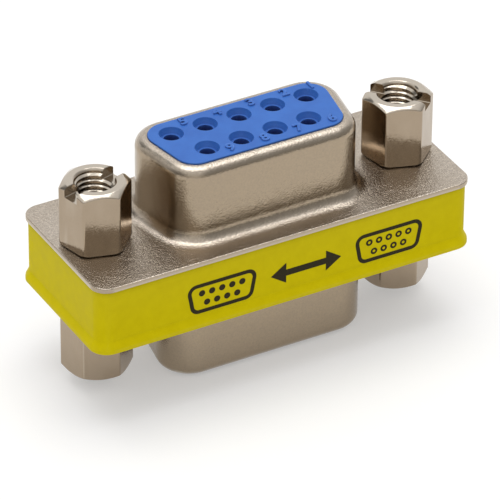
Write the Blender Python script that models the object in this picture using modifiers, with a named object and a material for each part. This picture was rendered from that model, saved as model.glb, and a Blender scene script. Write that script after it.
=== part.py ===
"""Nine-way D-sub gender changer with a socket face at each end.

Two drawn steel shells clamp two socket insulators and a spacer frame. Two slotted jack
screws run down through the stack into two hex standoffs, nine double-ended contacts run
from face to face, and a vinyl band wraps the edge. The origin is at the centre of the
lower mating face, +Z along the mating direction, X along the length, and the wide row of
the upper face is at +Y. Run it with: blender --background --python part.py
"""

import math

import bmesh
import bpy
from mathutils import Matrix, Vector

MM = 0.001

# Contact pattern of a nine-way D-sub connector
PITCH = 2.77 * MM
ROW_SPACING = 2.84 * MM
WIDE_ROW = 5
NARROW_ROW = 4

# Overall stack, measured from the middle plane between the two ends
BAND_HEIGHT = 5.65 * MM
FACE_ABOVE_FLANGE = 6.12 * MM
FACE_ABOVE_RIM = 0.12 * MM
FIT_GAP = 0.05 * MM

# Flange of each shell
FLANGE_LENGTH = 30.9 * MM
FLANGE_WIDTH = 12.3 * MM
FLANGE_CORNER = 1.3 * MM
SHEET = 0.4 * MM
STUD_HOLE_RADIUS = 1.55 * MM

# Drawn hood of each shell
HOOD_WIDTH = 16.35 * MM
HOOD_DEPTH = 7.9 * MM
HOOD_SIDE_ANGLE = math.radians(10)
HOOD_WIDE_CORNER = 2.5 * MM
HOOD_NARROW_CORNER = 2.45 * MM
HOOD_FILLET = 1.0 * MM
HOOD_RIM_RADIUS = 0.8 * MM
OPENING_INSET = 0.9 * MM

# Insulator
HOLE_MOUTH_RADIUS = 0.9 * MM
HOLE_SEAT_RADIUS = 0.74 * MM
HOLE_MOUTH_DEPTH = 0.45 * MM
HOLE_THROAT_RADIUS = 0.575 * MM
HOLE_THROAT_DEPTH = 0.8 * MM
CHAMBER_RADIUS = 0.8 * MM
SKIRT_HALF_LENGTH = 9.3 * MM
SKIRT_HALF_WIDTH = 4.8 * MM
SKIRT_CORNER = 0.8 * MM
POCKET_HALF_LENGTH = 7.2 * MM
POCKET_HALF_WIDTH = 3.1 * MM
POCKET_DEPTH = 1.15 * MM

# Double-ended contact
CONTACT_RADIUS = 0.75 * MM
CONTACT_BORE_RADIUS = 0.54 * MM
CONTACT_BORE_DEPTH = 4.5 * MM
CONTACT_LENGTH = 5.55 * MM
CONTACT_LEAD_IN = 0.12 * MM
SHANK_RADIUS = 0.35 * MM
SHANK_BEND_HEIGHT = 0.75 * MM
TINE_SLOT_WIDTH = 0.22 * MM
TINE_SLOT_LENGTH = 3.2 * MM

# Hex heads of the jack screws and standoffs, each bored for the thread of a mating screw
JACK_SPACING = 24.9 * MM
HEX_ACROSS_FLATS = 4.65 * MM
HEX_HEIGHT = 5.05 * MM
HEX_EDGE_RADIUS = 0.25 * MM
CROWN_RADIUS = 2.1 * MM
CROWN_ANGLE = math.radians(33)
FOOT_RADIUS = 2.55 * MM
FOOT_ANGLE = math.radians(45)
WASHER_FACE_RADIUS = 2.25 * MM
WASHER_FACE_HEIGHT = 0.04 * MM
JACK_BORE_RADIUS = 1.45 * MM
JACK_BORE_DEPTH = 3.9 * MM
JACK_DRILL_POINT = 0.4 * MM
JACK_MOUTH_RADIUS = 1.6 * MM
DRIVER_SLOT_WIDTH = 1.3 * MM
DRIVER_SLOT_DEPTH = 0.8 * MM
STUD_RADIUS = 1.37 * MM
STUD_THREAD_ENGAGED = 2.0 * MM
STUD_CHAMFER = 0.2 * MM
JACK_SCREW_TURNS = {"left": -15.75, "right": -78.95}
STANDOFF_TURNS = {"left": -19.2, "right": -21.05}

# Spacer frame
FRAME_INSET = 0.28 * MM
FRAME_OPENING_CLEARANCE = 0.1 * MM
FRAME_BORE_RADIUS = 1.6 * MM

# Vinyl band
BAND_THICKNESS = 0.08 * MM
BAND_INSET = 0.18 * MM
BAND_LAP = 0.1 * MM
BAND_TOP_GAP = 0.06 * MM
BAND_LAP_START = 0.95 * MM
BAND_LAP_FULL = 0.45 * MM
BAND_BOTTOM_GAP = 0.08 * MM

# Fineness of the curved outlines and of the turned shapes
CORNER_STEPS = 5
ROUND_STEPS = 4
HOLE_SIDES = 14
BORE_SIDES = 20
WELD = 0.001 * MM

FLANGE_TOP = BAND_HEIGHT / 2
FLANGE_UNDERSIDE = FLANGE_TOP - SHEET
FACE_HEIGHT = FLANGE_TOP + FACE_ABOVE_FLANGE
RIM_HEIGHT = FACE_HEIGHT - FACE_ABOVE_RIM
INNER_HEIGHT = FLANGE_UNDERSIDE - FIT_GAP
CONTACT_TOP = FACE_HEIGHT - HOLE_MOUTH_DEPTH - HOLE_THROAT_DEPTH - FIT_GAP
JACK_PLACES = {"left": -JACK_SPACING / 2, "right": JACK_SPACING / 2}
HOOD_MIDDLE_HALF_WIDTH = (
    HOOD_WIDTH / 2
    - HOOD_WIDE_CORNER
    + HOOD_WIDE_CORNER / math.cos(HOOD_SIDE_ANGLE)
    - (HOOD_DEPTH / 2 - HOOD_WIDE_CORNER) * math.tan(HOOD_SIDE_ANGLE)
)
MATERIALS = {
    "nickel_steel": ((0.60, 0.56, 0.49), 0.28, 1.0),
    "blue_plastic": ((0.07, 0.20, 0.62), 0.45, 0.0),
    "black_plastic": ((0.03, 0.03, 0.035), 0.55, 0.0),
    "contact_metal": ((0.80, 0.62, 0.28), 0.25, 1.0),
    "yellow_vinyl": ((0.55, 0.44, 0.02), 0.45, 0.0),
}


def clear_scene():
    for thing in list(bpy.data.objects):
        bpy.data.objects.remove(thing, do_unlink=True)


def new_collection(name):
    found = bpy.data.collections.new(name)
    bpy.context.scene.collection.children.link(found)
    return found


def make_material(name):
    colour, roughness, metallic = MATERIALS[name]
    made = bpy.data.materials.new(name)
    made.use_nodes = True
    shader = made.node_tree.nodes["Principled BSDF"]
    shader.inputs["Base Color"].default_value = (*colour, 1.0)
    shader.inputs["Roughness"].default_value = roughness
    shader.inputs["Metallic"].default_value = metallic
    made.diffuse_color = (*colour, 1.0)
    return made


def rounded(corners, radii, steps=CORNER_STEPS):
    """A polygon's outline, anticlockwise, with each corner replaced by an arc."""
    outline = []
    for index, corner in enumerate(corners):
        here = Vector(corner)
        back = (Vector(corners[index - 1]) - here).normalized()
        ahead = (Vector(corners[(index + 1) % len(corners)]) - here).normalized()
        half = back.angle(ahead) / 2
        centre = here + (back + ahead).normalized() * (radii[index] / math.sin(half))
        first = here + back * (radii[index] / math.tan(half)) - centre
        turn = math.pi - 2 * half
        for step in range(steps + 1):
            spin = Matrix.Rotation(turn * step / steps, 2)
            outline.append(centre + spin @ first)
    return outline


def d_outline(inset):
    """The hood's outline, moved inwards by inset, with its wide side at +Y."""
    half_depth = HOOD_DEPTH / 2 - inset
    middle = HOOD_MIDDLE_HALF_WIDTH - inset / math.cos(HOOD_SIDE_ANGLE)
    lean = half_depth * math.tan(HOOD_SIDE_ANGLE)
    front, back = middle - lean, middle + lean
    corners = [(-front, -half_depth), (front, -half_depth), (back, half_depth), (-back, half_depth)]
    radii = [HOOD_NARROW_CORNER - inset] * 2 + [HOOD_WIDE_CORNER - inset] * 2
    return rounded(corners, radii)


def box_outline(half_length, half_width, radius):
    corners = [(-half_length, -half_width), (half_length, -half_width)]
    corners += [(half_length, half_width), (-half_length, half_width)]
    return rounded(corners, [radius] * 4)


def flange_outline(inset):
    return box_outline(FLANGE_LENGTH / 2 - inset, FLANGE_WIDTH / 2 - inset, FLANGE_CORNER - inset)


def arc_steps(steps=ROUND_STEPS):
    """Angles from just above 0 to 90 degrees."""
    return [math.pi / 2 * (step + 1) / steps for step in range(steps)]


def loft(name, rings, capped):
    """A mesh of quads between rings, each an outline and its height, listed from the bottom up."""
    shape = bmesh.new()
    loops = [[shape.verts.new((*point, height)) for point in outline] for outline, height in rings]
    count = len(loops[0])
    for low, high in zip(loops, loops[1:]):
        for index in range(count):
            after = (index + 1) % count
            shape.faces.new((low[index], low[after], high[after], high[index]))
    if capped:
        shape.faces.new(loops[0][::-1])
        shape.faces.new(loops[-1])
    mesh = bpy.data.meshes.new(name)
    shape.to_mesh(mesh)
    shape.free()
    return bpy.data.objects.new(name, mesh)


def prism(name, outline, low, high):
    """An outline extruded from one height to another."""
    return loft(name, [(outline, low), (outline, high)], capped=True)


def turned(name, profile, sides):
    """A profile of radius and height pairs, listed from the top down, turned about Z."""
    mesh = bpy.data.meshes.new(name)
    points = [(radius, 0, height) for radius, height in profile]
    mesh.from_pydata(points, [(index, index + 1) for index in range(len(points) - 1)], [])
    made = bpy.data.objects.new(name, mesh)
    screw = made.modifiers.new("Turn", "SCREW")
    screw.steps = screw.render_steps = sides
    screw.use_merge_vertices = True
    screw.merge_threshold = 0.00001
    return made


def box(name, size, centre, turn=0.0):
    """A block of the given size, turned about its own vertical axis."""
    shape = bmesh.new()
    place = Matrix.Translation(centre) @ Matrix.Rotation(turn, 4, "Z") @ Matrix.Diagonal((*size, 1))
    bmesh.ops.create_cube(shape, size=1, matrix=place)
    mesh = bpy.data.meshes.new(name)
    shape.to_mesh(mesh)
    shape.free()
    return bpy.data.objects.new(name, mesh)


def add_boolean(target, tool, operation):
    modifier = target.modifiers.new(f"{operation.title()} {tool.name}", "BOOLEAN")
    modifier.operation = operation
    modifier.solver = "EXACT"
    modifier.object = tool


def as_tool(thing):
    """Files a shape under the cutters, out of sight."""
    tools.objects.link(thing)
    thing.hide_render = True
    thing.display_type = "WIRE"
    return thing


def settle(thing):
    """The shape after its modifiers, as a plain welded mesh that copies can share."""
    holder = bpy.context.scene.collection
    holder.objects.link(thing)
    graph = bpy.context.evaluated_depsgraph_get()
    mesh = bpy.data.meshes.new_from_object(thing.evaluated_get(graph))
    bpy.data.objects.remove(thing)
    shape = bmesh.new()
    shape.from_mesh(mesh)
    bmesh.ops.remove_doubles(shape, verts=shape.verts, dist=WELD)
    shape.to_mesh(mesh)
    shape.free()
    return mesh


def copies(name, mesh, places):
    """One shape that holds a separate copy of a mesh at each place."""
    shape = bmesh.new()
    for place in places:
        copy = mesh.copy()
        copy.transform(Matrix.Translation(place))
        shape.from_mesh(copy)
        bpy.data.meshes.remove(copy)
    joined = bpy.data.meshes.new(name)
    shape.to_mesh(joined)
    shape.free()
    return bpy.data.objects.new(name, joined)


def smooth(mesh, degrees=40):
    mesh.shade_smooth()
    mesh.set_sharp_from_angle(angle=math.radians(degrees))


def place(name, mesh, material, location=(0, 0, 0), rotation=(0, 0, 0)):
    """A named piece under the changer's centre, with its material."""
    piece = bpy.data.objects.new(name, mesh)
    piece.parent = centre
    piece.location = location
    piece.rotation_euler = rotation
    if not mesh.materials:
        mesh.materials.append(material)
    parts.objects.link(piece)
    return piece


def contact_places():
    """Each contact's number and its place on the upper face, seen from above."""
    places = {}
    for index in range(WIDE_ROW):
        places[WIDE_ROW - index] = ((index - (WIDE_ROW - 1) / 2) * PITCH, ROW_SPACING / 2)
    for index in range(NARROW_ROW):
        number = WIDE_ROW + NARROW_ROW - index
        places[number] = ((index - (NARROW_ROW - 1) / 2) * PITCH, -ROW_SPACING / 2)
    return places


def shell_mesh():
    """Flange and drawn hood, from one sheet, with a hole for each jack screw."""
    rings = [(flange_outline(0), FLANGE_TOP), (d_outline(-HOOD_FILLET), FLANGE_TOP)]
    for angle in arc_steps():
        inset = HOOD_FILLET * (math.sin(angle) - 1)
        rings.append((d_outline(inset), FLANGE_TOP + HOOD_FILLET * (1 - math.cos(angle))))
    rings.append((d_outline(0), RIM_HEIGHT - HOOD_RIM_RADIUS))
    for angle in arc_steps():
        inset = HOOD_RIM_RADIUS * (1 - math.cos(angle))
        rings.append((d_outline(inset), RIM_HEIGHT - HOOD_RIM_RADIUS * (1 - math.sin(angle))))
    rings.append((d_outline(OPENING_INSET), RIM_HEIGHT))
    shell = loft("shell", rings, capped=False)
    skin = shell.modifiers.new("Sheet thickness", "SOLIDIFY")
    skin.thickness = SHEET
    skin.offset = -1
    skin.use_even_offset = True
    add_boolean(shell, stud_passages("flange_holes", STUD_HOLE_RADIUS), "DIFFERENCE")
    mesh = settle(shell)
    smooth(mesh)
    return mesh


def stud_passages(name, radius):
    """Two upright cylinders, one on the axis of each jack screw."""
    profile = [(0, BAND_HEIGHT), (radius, BAND_HEIGHT), (radius, -BAND_HEIGHT), (0, -BAND_HEIGHT)]
    passage = settle(turned("passage", profile, BORE_SIDES))
    return as_tool(copies(name, passage, [(x, 0, 0) for x in JACK_PLACES.values()]))


def hole_profile():
    """A contact hole: mouth, throat and the chamber behind, with room at both ends."""
    seat = FACE_HEIGHT - HOLE_MOUTH_DEPTH
    throat = seat - HOLE_THROAT_DEPTH
    over = 2 * FIT_GAP
    slope = (HOLE_MOUTH_RADIUS - HOLE_SEAT_RADIUS) / HOLE_MOUTH_DEPTH
    mouth = HOLE_MOUTH_RADIUS + over * slope
    return [
        (0, FACE_HEIGHT + over),
        (mouth, FACE_HEIGHT + over),
        (HOLE_SEAT_RADIUS, seat),
        (HOLE_THROAT_RADIUS, seat),
        (HOLE_THROAT_RADIUS, throat),
        (CHAMBER_RADIUS, throat),
        (CHAMBER_RADIUS, POCKET_DEPTH / 2),
        (0, POCKET_DEPTH / 2),
    ]


def insulator_mesh():
    """A nine-hole socket block that fills the hood, with the skirt that the shells clamp."""
    wall = SHEET + FIT_GAP
    shoulder = RIM_HEIGHT - SHEET - FIT_GAP
    boss = OPENING_INSET + FIT_GAP
    rings = [
        (d_outline(wall), FIT_GAP),
        (d_outline(wall), RIM_HEIGHT - HOOD_RIM_RADIUS),
        (d_outline(boss - FIT_GAP), shoulder),
        (d_outline(boss), shoulder),
        (d_outline(boss), FACE_HEIGHT),
    ]
    block = loft("insulator", rings, capped=True)
    skirt = box_outline(SKIRT_HALF_LENGTH, SKIRT_HALF_WIDTH, SKIRT_CORNER)
    add_boolean(block, as_tool(prism("skirt", skirt, FIT_GAP / 2, INNER_HEIGHT)), "UNION")
    pocket = box_outline(POCKET_HALF_LENGTH, POCKET_HALF_WIDTH, SKIRT_CORNER)
    add_boolean(block, as_tool(prism("pocket", pocket, -POCKET_DEPTH, POCKET_DEPTH)), "DIFFERENCE")
    hole = settle(turned("contact hole", hole_profile(), HOLE_SIDES))
    spots = [(x, y, 0) for x, y in contact_places().values()]
    add_boolean(block, as_tool(copies("contact_holes", hole, spots)), "DIFFERENCE")
    mesh = settle(block)
    smooth(mesh)
    return mesh


def socket_profile():
    """The turned socket end of a contact, bored from its mouth."""
    floor = CONTACT_TOP - CONTACT_BORE_DEPTH
    foot = CONTACT_TOP - CONTACT_LENGTH
    return [
        (0, floor),
        (CONTACT_BORE_RADIUS, floor),
        (CONTACT_BORE_RADIUS, CONTACT_TOP - CONTACT_LEAD_IN),
        (CONTACT_BORE_RADIUS + CONTACT_LEAD_IN / 2, CONTACT_TOP),
        (CONTACT_RADIUS - CONTACT_LEAD_IN / 2, CONTACT_TOP),
        (CONTACT_RADIUS, CONTACT_TOP - CONTACT_LEAD_IN),
        (CONTACT_RADIUS, foot),
        (SHANK_RADIUS / 2, foot - CONTACT_RADIUS + SHANK_RADIUS),
        (0, foot - CONTACT_RADIUS + SHANK_RADIUS),
    ]


def shank_mesh():
    """The jogged wire between the two sockets, which crosses from one row to the other."""
    row = ROW_SPACING / 2
    reach = CONTACT_TOP - CONTACT_LENGTH + SHANK_RADIUS
    route = [(row, reach), (row, SHANK_BEND_HEIGHT), (-row, -SHANK_BEND_HEIGHT), (-row, -reach)]
    curve = bpy.data.curves.new("shank", "CURVE")
    curve.dimensions = "3D"
    curve.bevel_depth = SHANK_RADIUS
    curve.bevel_resolution = 1
    curve.use_fill_caps = True
    line = curve.splines.new("POLY")
    line.points.add(len(route) - 1)
    for point, (y, z) in zip(line.points, route):
        point.co = (0, y, z, 1)
    return settle(bpy.data.objects.new("shank", curve))


def contact_mesh():
    """Two split sockets joined by their jogged shank, the upper one at +Y."""
    contact = bpy.data.objects.new("contact", shank_mesh())
    for end, turn in (("upper", 0), ("lower", math.pi)):
        socket = settle(turned("socket", socket_profile(), HOLE_SIDES))
        row = Matrix.Translation((0, ROW_SPACING / 2, 0))
        socket.transform(Matrix.Rotation(turn, 4, "X") @ row)
        tool = bpy.data.objects.new(f"{end}_socket", socket)
        add_boolean(contact, as_tool(tool), "UNION")
    for end, side in (("upper", 1), ("lower", -1)):
        size = (4 * CONTACT_RADIUS, TINE_SLOT_WIDTH, 2 * TINE_SLOT_LENGTH)
        spot = (0, side * ROW_SPACING / 2, side * CONTACT_TOP)
        slot = box(f"{end}_tine_slot", size, spot)
        add_boolean(contact, as_tool(slot), "DIFFERENCE")
    mesh = settle(contact)
    smooth(mesh)
    return mesh


def hex_body(name):
    """A hex bar standing on a round washer face at 0, with its far end crowned."""
    reach = HEX_ACROSS_FLATS
    body = loft(name, [(hexagon(), -SHEET), (hexagon(), HEX_HEIGHT + SHEET)], capped=True)
    crown = HEX_HEIGHT - (reach - CROWN_RADIUS) * math.tan(CROWN_ANGLE)
    foot = WASHER_FACE_HEIGHT + (reach - FOOT_RADIUS) * math.tan(FOOT_ANGLE)
    limits = [
        (0, HEX_HEIGHT),
        (CROWN_RADIUS, HEX_HEIGHT),
        (reach, crown),
        (reach, foot),
        (FOOT_RADIUS, WASHER_FACE_HEIGHT),
        (WASHER_FACE_RADIUS, WASHER_FACE_HEIGHT),
        (WASHER_FACE_RADIUS, 0),
        (0, 0),
    ]
    add_boolean(body, solid_tool(f"{name}_limits", limits, 2 * BORE_SIDES), "INTERSECT")
    return body


def bore_mouth():
    """The countersink and upper wall of a threaded bore, from above the crowned end."""
    over = HEX_HEIGHT + SHEET
    countersink = HEX_HEIGHT - (JACK_MOUTH_RADIUS - JACK_BORE_RADIUS)
    return [(0, over), (JACK_MOUTH_RADIUS + SHEET, over), (JACK_BORE_RADIUS, countersink)]


def jack_screw_mesh():
    """A slotted and bored hex head on a stud that points down through the whole stack."""
    screw = hex_body("jack_screw")
    tip = -(BAND_HEIGHT + 2 * FIT_GAP + STUD_THREAD_ENGAGED)
    stud = [(0, SHEET), (STUD_RADIUS, SHEET), (STUD_RADIUS, tip + STUD_CHAMFER)]
    stud += [(STUD_RADIUS - STUD_CHAMFER, tip), (0, tip)]
    add_boolean(screw, solid_tool("stud", stud, BORE_SIDES), "UNION")
    floor = HEX_HEIGHT - JACK_BORE_DEPTH
    bore = [*bore_mouth(), (JACK_BORE_RADIUS, floor), (0, floor - JACK_DRILL_POINT)]
    add_boolean(screw, solid_tool("blind_bore", bore, BORE_SIDES), "DIFFERENCE")
    size = (3 * HEX_ACROSS_FLATS, DRIVER_SLOT_WIDTH, 2 * DRIVER_SLOT_DEPTH)
    slot = box("driver_slot", size, (0, 0, HEX_HEIGHT), math.radians(30))
    add_boolean(screw, as_tool(slot), "DIFFERENCE")
    mesh = settle(screw)
    smooth(mesh, 25)
    return mesh


def standoff_mesh():
    """A hex standoff bored right through: a stud enters its foot, a mating screw its end."""
    standoff = hex_body("standoff")
    bore = [*bore_mouth(), (JACK_BORE_RADIUS, -SHEET), (0, -SHEET)]
    add_boolean(standoff, solid_tool("through_bore", bore, BORE_SIDES), "DIFFERENCE")
    mesh = settle(standoff)
    smooth(mesh, 25)
    return mesh


def hexagon():
    """The hex outline with slightly rounded edges, a corner at 0 degrees."""
    reach = HEX_ACROSS_FLATS / math.sqrt(3)
    angles = [math.radians(60 * index) for index in range(6)]
    corners = [(reach * math.cos(angle), reach * math.sin(angle)) for angle in angles]
    return rounded(corners, [HEX_EDGE_RADIUS] * 6, steps=1)


def solid_tool(name, profile, sides):
    return as_tool(bpy.data.objects.new(name, settle(turned(name, profile, sides))))


def frame_mesh():
    """The plastic ring between the flanges, open for the skirts and bored for the studs."""
    frame = prism("frame", flange_outline(FRAME_INSET), -INNER_HEIGHT, INNER_HEIGHT)
    clear = FRAME_OPENING_CLEARANCE
    opening = box_outline(SKIRT_HALF_LENGTH + clear, SKIRT_HALF_WIDTH + clear, SKIRT_CORNER)
    add_boolean(frame, as_tool(prism("frame_opening", opening, -BAND_HEIGHT, BAND_HEIGHT)), "DIFFERENCE")
    add_boolean(frame, stud_passages("frame_bores", FRAME_BORE_RADIUS), "DIFFERENCE")
    mesh = settle(frame)
    smooth(mesh)
    return mesh


def band_mesh():
    """The vinyl wrapped round the frame, which laps over the lower flange's edge."""
    rings = [
        (flange_outline(-BAND_LAP), BAND_BOTTOM_GAP - FLANGE_TOP),
        (flange_outline(-BAND_LAP), BAND_LAP_FULL - FLANGE_TOP),
        (flange_outline(BAND_INSET), BAND_LAP_START - FLANGE_TOP),
        (flange_outline(BAND_INSET), FLANGE_UNDERSIDE - BAND_TOP_GAP),
    ]
    band = loft("band", rings, capped=False)
    skin = band.modifiers.new("Vinyl thickness", "SOLIDIFY")
    skin.thickness = BAND_THICKNESS
    skin.offset = -1
    skin.use_even_offset = True
    mesh = settle(band)
    smooth(mesh, 50)
    return mesh


def build_both_ends():
    """The shell and insulator of each end: the lower end is the upper one turned about X."""
    shell, insulator = shell_mesh(), insulator_mesh()
    for end, turn in (("upper", 0), ("lower", math.pi)):
        place(f"{end}_shell", shell, materials["nickel_steel"], rotation=(turn, 0, 0))
        place(f"{end}_insulator", insulator, materials["blue_plastic"], rotation=(turn, 0, 0))


def build_screws():
    """A jack screw from above and a standoff from below, at each end of the flange."""
    screw, standoff = jack_screw_mesh(), standoff_mesh()
    seat = FLANGE_TOP + FIT_GAP
    for hand, x in JACK_PLACES.items():
        above = (0, 0, math.radians(JACK_SCREW_TURNS[hand]))
        below = (math.pi, 0, math.radians(STANDOFF_TURNS[hand]))
        place(f"jack_screw_{hand}", screw, materials["nickel_steel"], (x, 0, seat), above)
        place(f"hex_standoff_{hand}", standoff, materials["nickel_steel"], (x, 0, -seat), below)


def build_contacts():
    """Nine alike contacts: those of the narrow row are turned half round."""
    contact = contact_mesh()
    for number, (x, y) in sorted(contact_places().items()):
        turn = 0 if y > 0 else math.pi
        place(f"contact_{number}", contact, materials["contact_metal"], (x, 0, 0), (0, 0, turn))


def build_middle():
    place("spacer_frame", frame_mesh(), materials["black_plastic"])
    place("label_band", band_mesh(), materials["yellow_vinyl"])


clear_scene()
parts = new_collection("d_sub_gender_changer")
tools = new_collection("cutters")
materials = {name: make_material(name) for name in MATERIALS}
centre = bpy.data.objects.new("middle_plane", None)
centre.location = (0, 0, FACE_HEIGHT)
parts.objects.link(centre)
build_both_ends()
build_screws()
build_contacts()
build_middle()
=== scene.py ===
"""The finished look of a nine-way D-sub gender changer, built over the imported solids.

The shells, insulators, hex heads and label band are remade with fine edges, threads and
moulded digits in the place of their solids; the contacts and the spacer frame keep theirs.
Everything is in metres, with the origin at the centre of the lower mating face.
"""

import math

import bmesh
import bpy
from mathutils import Matrix, Vector


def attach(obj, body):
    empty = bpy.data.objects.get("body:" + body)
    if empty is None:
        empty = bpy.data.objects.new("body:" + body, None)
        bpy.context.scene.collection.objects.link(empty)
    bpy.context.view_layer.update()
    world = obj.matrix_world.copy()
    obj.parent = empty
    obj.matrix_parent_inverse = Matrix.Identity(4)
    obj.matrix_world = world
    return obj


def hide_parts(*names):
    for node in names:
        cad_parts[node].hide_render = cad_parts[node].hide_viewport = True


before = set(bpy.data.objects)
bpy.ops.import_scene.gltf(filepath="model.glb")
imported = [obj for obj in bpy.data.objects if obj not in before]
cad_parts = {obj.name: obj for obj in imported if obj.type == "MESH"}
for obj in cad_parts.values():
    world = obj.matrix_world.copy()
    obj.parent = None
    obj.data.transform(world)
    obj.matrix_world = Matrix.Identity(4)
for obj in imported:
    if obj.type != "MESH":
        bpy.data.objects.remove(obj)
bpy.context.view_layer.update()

MM = 0.001

# The two ends, with how far each is turned about X from the upper one
ENDS = (("upper", 0), ("lower", math.pi))

# Stack and flange, as in the solids
PITCH = 2.77 * MM
ROW_SPACING = 2.84 * MM
BAND_HEIGHT = 5.65 * MM
FACE_ABOVE_FLANGE = 6.12 * MM
FACE_ABOVE_RIM = 0.12 * MM
FIT_GAP = 0.05 * MM
FLANGE_LENGTH = 30.9 * MM
FLANGE_WIDTH = 12.3 * MM
FLANGE_CORNER = 1.3 * MM
SHEET = 0.4 * MM
STUD_HOLE_RADIUS = 1.55 * MM
FLANGE_TOP = BAND_HEIGHT / 2
FLANGE_UNDERSIDE = FLANGE_TOP - SHEET
FACE_HEIGHT = FLANGE_TOP + FACE_ABOVE_FLANGE
RIM_HEIGHT = FACE_HEIGHT - FACE_ABOVE_RIM
INNER_HEIGHT = FLANGE_UNDERSIDE - FIT_GAP

# Hood
HOOD_WIDTH = 16.35 * MM
HOOD_DEPTH = 7.9 * MM
HOOD_SIDE_ANGLE = math.radians(10)
HOOD_WIDE_CORNER = 2.5 * MM
HOOD_NARROW_CORNER = 2.45 * MM
HOOD_FILLET = 1.0 * MM
HOOD_RIM_RADIUS = 0.8 * MM
OPENING_INSET = 0.9 * MM
HOOD_MIDDLE_HALF_WIDTH = (
    HOOD_WIDTH / 2
    - HOOD_WIDE_CORNER
    + HOOD_WIDE_CORNER / math.cos(HOOD_SIDE_ANGLE)
    - (HOOD_DEPTH / 2 - HOOD_WIDE_CORNER) * math.tan(HOOD_SIDE_ANGLE)
)

# Insulator
HOLE_MOUTH_RADIUS = 0.9 * MM
HOLE_SEAT_RADIUS = 0.74 * MM
HOLE_MOUTH_DEPTH = 0.45 * MM
HOLE_THROAT_RADIUS = 0.575 * MM
HOLE_THROAT_DEPTH = 0.8 * MM
CHAMBER_RADIUS = 0.8 * MM
SKIRT_HALF_LENGTH = 9.3 * MM
SKIRT_HALF_WIDTH = 4.8 * MM
SKIRT_CORNER = 0.8 * MM
POCKET_HALF_LENGTH = 7.2 * MM
POCKET_HALF_WIDTH = 3.1 * MM
POCKET_DEPTH = 1.15 * MM

# Hex heads
JACK_SPACING = 24.9 * MM
HEX_ACROSS_FLATS = 4.65 * MM
HEX_HEIGHT = 5.05 * MM
HEX_EDGE_RADIUS = 0.25 * MM
CROWN_RADIUS = 2.1 * MM
CROWN_SLOPE = math.tan(math.radians(33))
FOOT_RADIUS = 2.55 * MM
WASHER_FACE_RADIUS = 2.25 * MM
WASHER_FACE_HEIGHT = 0.04 * MM
HEX_EDGE_PARTS = 8
HEX_FLAT_SHARES = (0.03, 0.12, 0.25, 0.375, 0.5, 0.625, 0.75, 0.88, 0.97)
JACK_BORE_RADIUS = 1.45 * MM
JACK_BORE_DEPTH = 3.9 * MM
JACK_DRILL_POINT = 0.4 * MM
DRILL_TIP_SHARE = 0.02
JACK_MOUTH_RADIUS = 1.6 * MM
DRIVER_SLOT_WIDTH = 1.3 * MM
DRIVER_SLOT_DEPTH = 0.8 * MM
STUD_RADIUS = 1.37 * MM
STUD_THREAD_ENGAGED = 2.0 * MM
STUD_CHAMFER = 0.2 * MM
JACK_PLACES = {"left": -JACK_SPACING / 2, "right": JACK_SPACING / 2}
JACK_SCREW_TURNS = {"left": -15.75, "right": -78.95}
STANDOFF_TURNS = {"left": -19.2, "right": -21.05}

# Thread ridges of the bores, with crests as close together as in the photo
THREAD_PITCH = 0.44 * MM
THREAD_ROOT = 1.49 * MM
THREAD_CREST = 1.28 * MM
THREAD_STEPS = 40
THREAD_RUN_OUT_STEPS = THREAD_STEPS / 5
THREAD_HALF_FOOT = 0.42 * THREAD_PITCH
THREAD_HALF_CREST = 0.07 * THREAD_PITCH
THREAD_END_HEIGHT_SHARE = 0.08
THREAD_END_FOOT_SHARE = 0.15
THREAD_TOP_GAP = 0.34 * MM
THREAD_ABOVE_STUD = STUD_THREAD_ENGAGED + 0.3 * MM

# Vinyl band
BAND_THICKNESS = 0.08 * MM
BAND_INSET = 0.18 * MM
BAND_LAP = 0.1 * MM
BAND_TOP_GAP = 0.06 * MM
BAND_LAP_START = 0.95 * MM
BAND_LAP_FULL = 0.45 * MM
BAND_BOTTOM_GAP = 0.08 * MM
SEAM_X = 4.2 * MM
SEAM_OVERLAP = 2.6 * MM
SEAM_RAMP = 0.25 * MM
SEAM_LIFT = BAND_THICKNESS + 0.01 * MM
SEAM_FIRST_LIFT = 0.15 * SEAM_LIFT
BAND_FOLD_EASE = 0.02 * MM
BAND_CREASE_INSET = 0.03 * MM
BAND_CREASE_DROP = 0.04 * MM
BAND_SHARP_DEGREES = 35

# Symbols on the band's front, where the photo has its label
INK_THICKNESS = 0.012 * MM
INK_FRONT = -(FLANGE_WIDTH / 2 - BAND_INSET) - INK_THICKNESS
INK_BACK = INK_FRONT + 2 * INK_THICKNESS
SYMBOL_LEVEL = -0.40 * MM
PIN_SYMBOL_X = -5.4 * MM
HOLE_SYMBOL_X = 8.4 * MM
SYMBOL_HALF_HEIGHT = 1.1 * MM
SYMBOL_NARROW_HALF = 2.35 * MM
SYMBOL_WIDE_HALF = 2.75 * MM
SYMBOL_CORNER = 0.55 * MM
SYMBOL_CORNER_STEPS = 8
SYMBOL_LINE = 0.3 * MM
SYMBOL_ROWS = ((0.42 * MM, 5), (-0.42 * MM, 4))
SYMBOL_PITCH = 0.82 * MM
PIN_DOT_RADIUS = 0.25 * MM
HOLE_DOT_RADII = (0.27 * MM, 0.12 * MM)
DOT_SIDES = 20
ARROW_LEFT = -1.4 * MM
ARROW_RIGHT = 4.4 * MM
ARROW_HEAD_LENGTH = 1.25 * MM
ARROW_HEAD_HALF = 0.85 * MM
ARROW_SHAFT_HALF = 0.26 * MM

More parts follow.
